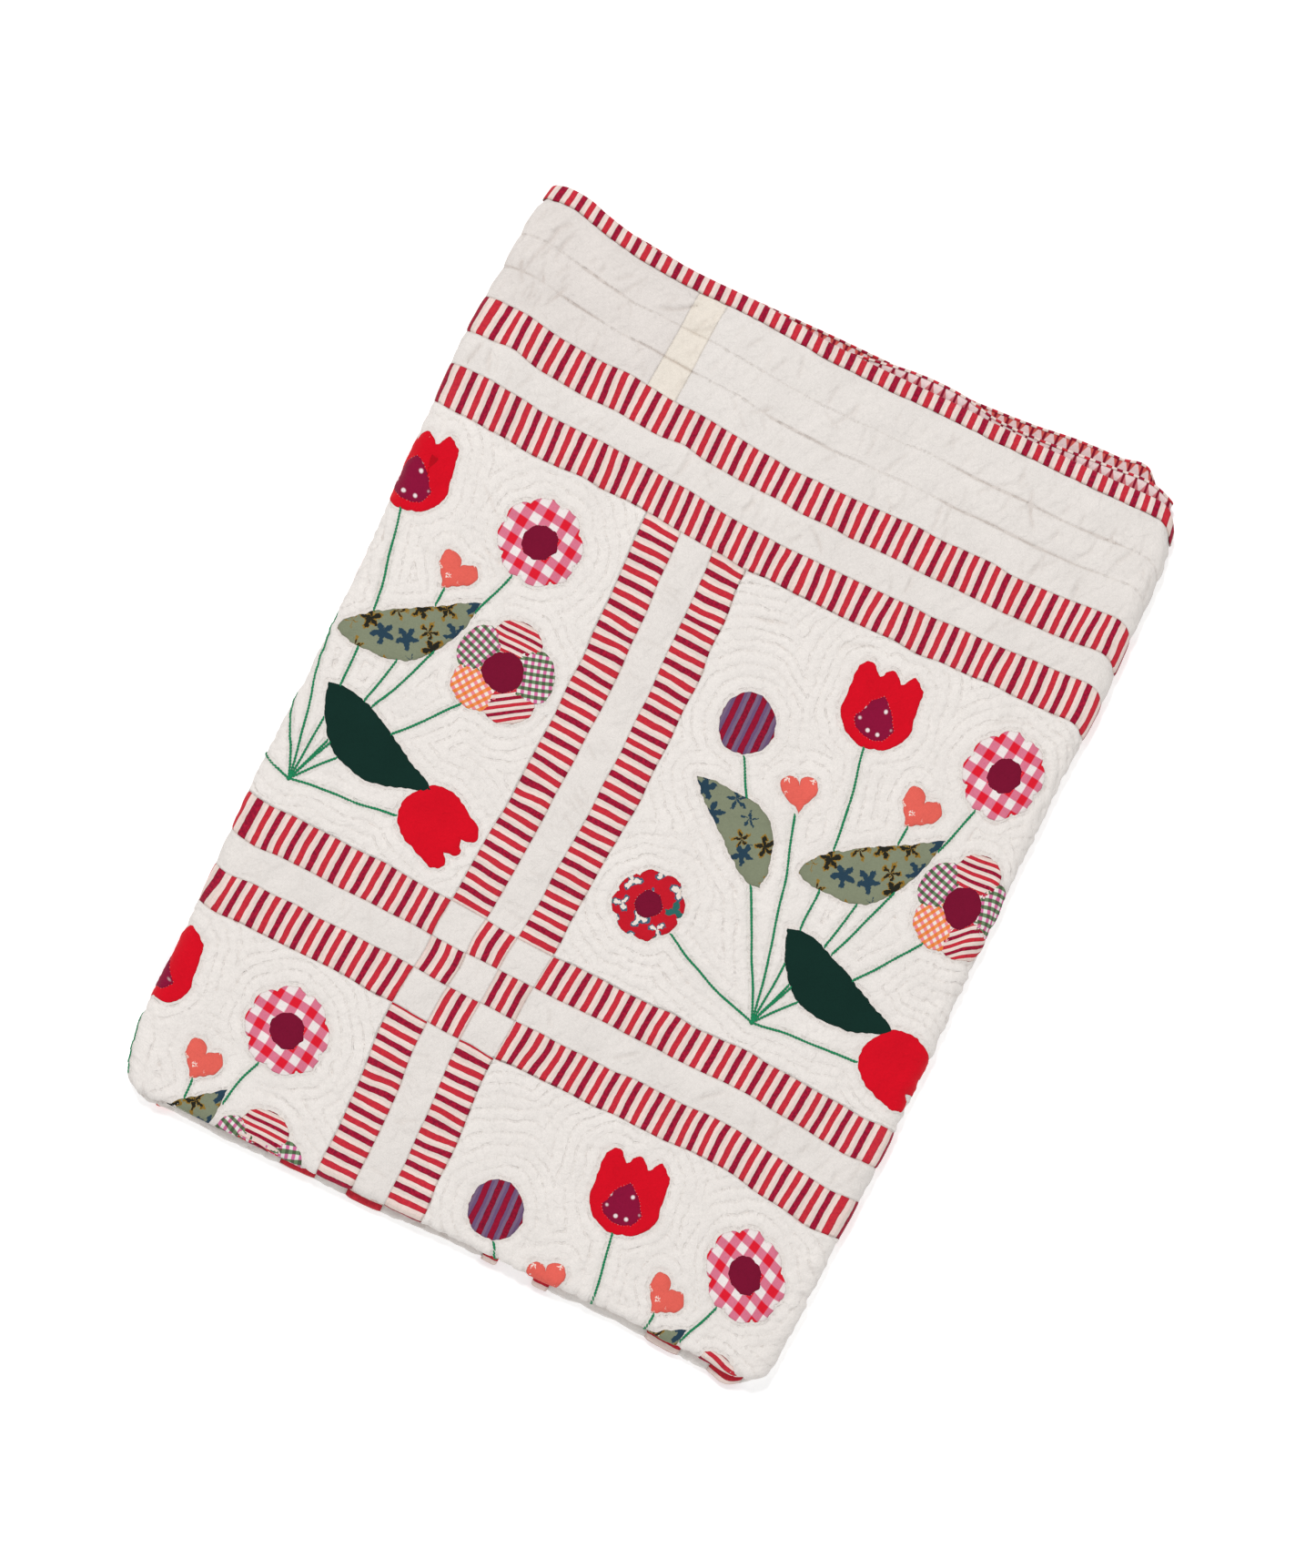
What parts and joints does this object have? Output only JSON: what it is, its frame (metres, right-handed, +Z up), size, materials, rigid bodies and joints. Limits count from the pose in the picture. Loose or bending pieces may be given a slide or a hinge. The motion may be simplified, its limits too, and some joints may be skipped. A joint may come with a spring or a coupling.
{
  "type": "applique quilt",
  "caption": "Hand-quilted applique quilt with striped sashes and striped binding, folded in half and gated under at both sides, lying flat.",
  "frame": {"origin": "on the surface that the bundle lies on, under the middle of its bounding box", "axes": "+Z up; +Y points to the head edge, where the bound edges of the layers lie; +X runs to the right along that edge as seen from above, with the patched face up"},
  "size_m": [0.7312, 1.0062, 0.0402],
  "materials": {
    "quilted_cotton": "matt washed cotton, quilted",
    "striped_cotton": "matt printed cotton with red stripes"
  },
  "bodies": {
    "root": {"quilt": "quilted_cotton", "binding_head": "striped_cotton", "binding_foot": "striped_cotton", "binding_left": "striped_cotton", "binding_right": "striped_cotton"}
  },
  "joints": []
}
